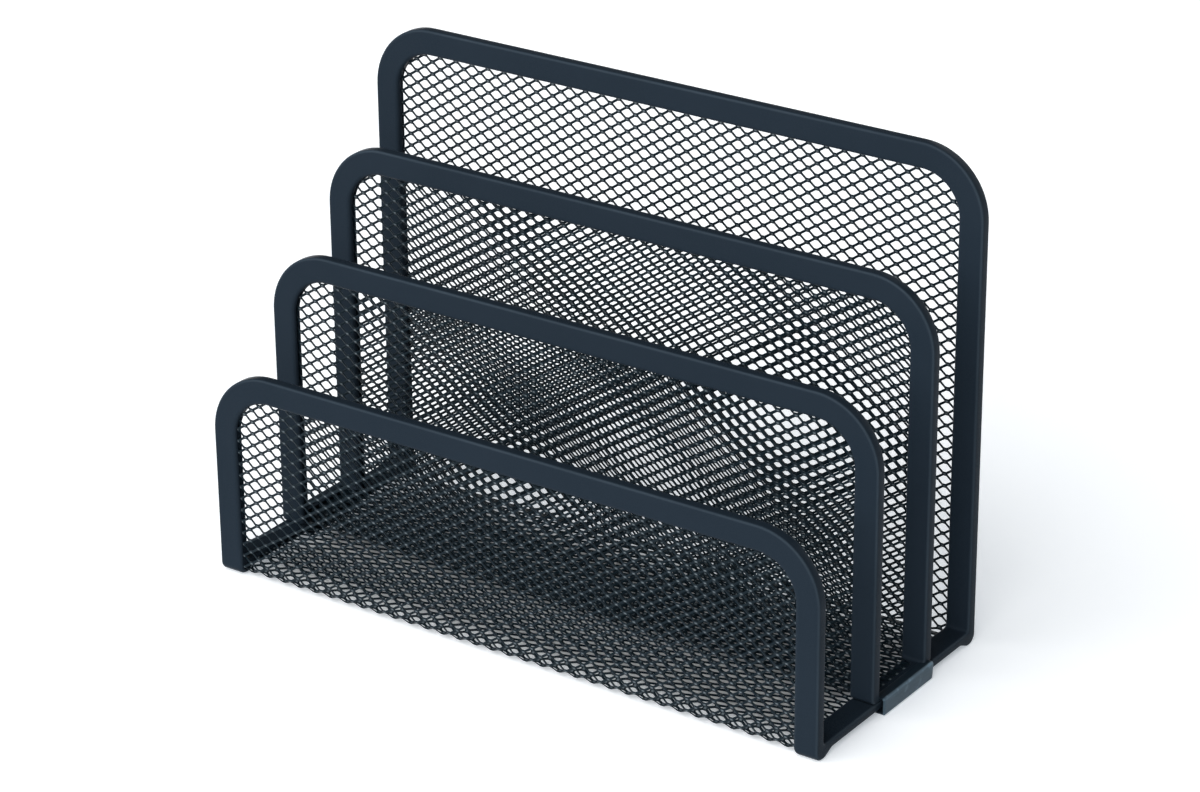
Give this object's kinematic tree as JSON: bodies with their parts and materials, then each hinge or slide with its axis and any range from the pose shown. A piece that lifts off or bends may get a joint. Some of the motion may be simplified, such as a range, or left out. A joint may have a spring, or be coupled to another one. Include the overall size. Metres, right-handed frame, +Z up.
{
  "type": "letter sorter",
  "caption": "Desk letter sorter of expanded steel mesh in rolled edge strips: upright panels that step up to the rear hold letters and papers on edge.",
  "frame": {"origin": "on the desk, under the middle of the sorter's box", "axes": "+Z up, -Y towards the low front panel, +X to the right seen from the front"},
  "size_m": [0.1928, 0.078, 0.136],
  "materials": {
    "edge_strip": "satin slate-black powder coat",
    "mesh": "satin slate-black powder coat on expanded sheet"
  },
  "bodies": {
    "root": {"front_mesh": "mesh", "rear_mesh": "mesh", "floor_mesh": "mesh", "front_toe_mesh": "mesh", "rear_toe_mesh": "mesh", "second_mesh": "mesh", "third_mesh": "mesh", "inner_floor_mesh": "mesh", "front_rim": "edge_strip", "rear_rim": "edge_strip", "second_rim": "edge_strip", "third_rim": "edge_strip", "front_right_foot": "edge_strip", "front_left_foot": "edge_strip", "rear_right_foot": "edge_strip", "rear_left_foot": "edge_strip", "left_floor_rim": "edge_strip", "right_floor_rim": "edge_strip", "right_clamp": "edge_strip", "left_clamp": "edge_strip"}
  },
  "joints": []
}
